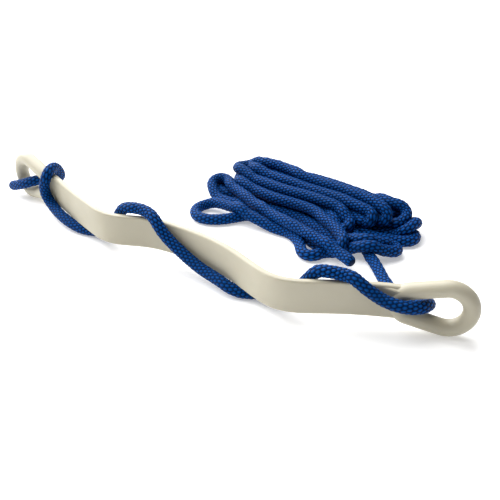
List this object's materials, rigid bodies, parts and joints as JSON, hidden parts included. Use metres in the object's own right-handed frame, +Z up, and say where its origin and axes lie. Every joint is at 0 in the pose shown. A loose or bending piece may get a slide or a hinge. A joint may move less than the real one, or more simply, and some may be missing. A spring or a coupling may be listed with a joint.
{
  "type": "tow rope handle",
  "caption": "Waved moulded grip strip with a rope eye at each end, wrapped by a braided tow rope whose spare length lies in a loose hank.",
  "frame": {"origin": "middle of the handle's footprint, on the surface that the two eyes stand on", "axes": "+X along the handle from the far eye to the near eye, +Z up along the grip strip's height, -Y the side that the wave bulges to"},
  "size_m": [0.4024, 0.1836, 0.0457],
  "materials": {
    "moulded_plastic": "ivory moulded plastic, satin, softly rounded edges",
    "braided_rope": "royal blue solid-braid polypropylene rope"
  },
  "bodies": {
    "root": {"handle": "moulded_plastic", "rope": "braided_rope", "rope_hank": "braided_rope"}
  },
  "joints": []
}
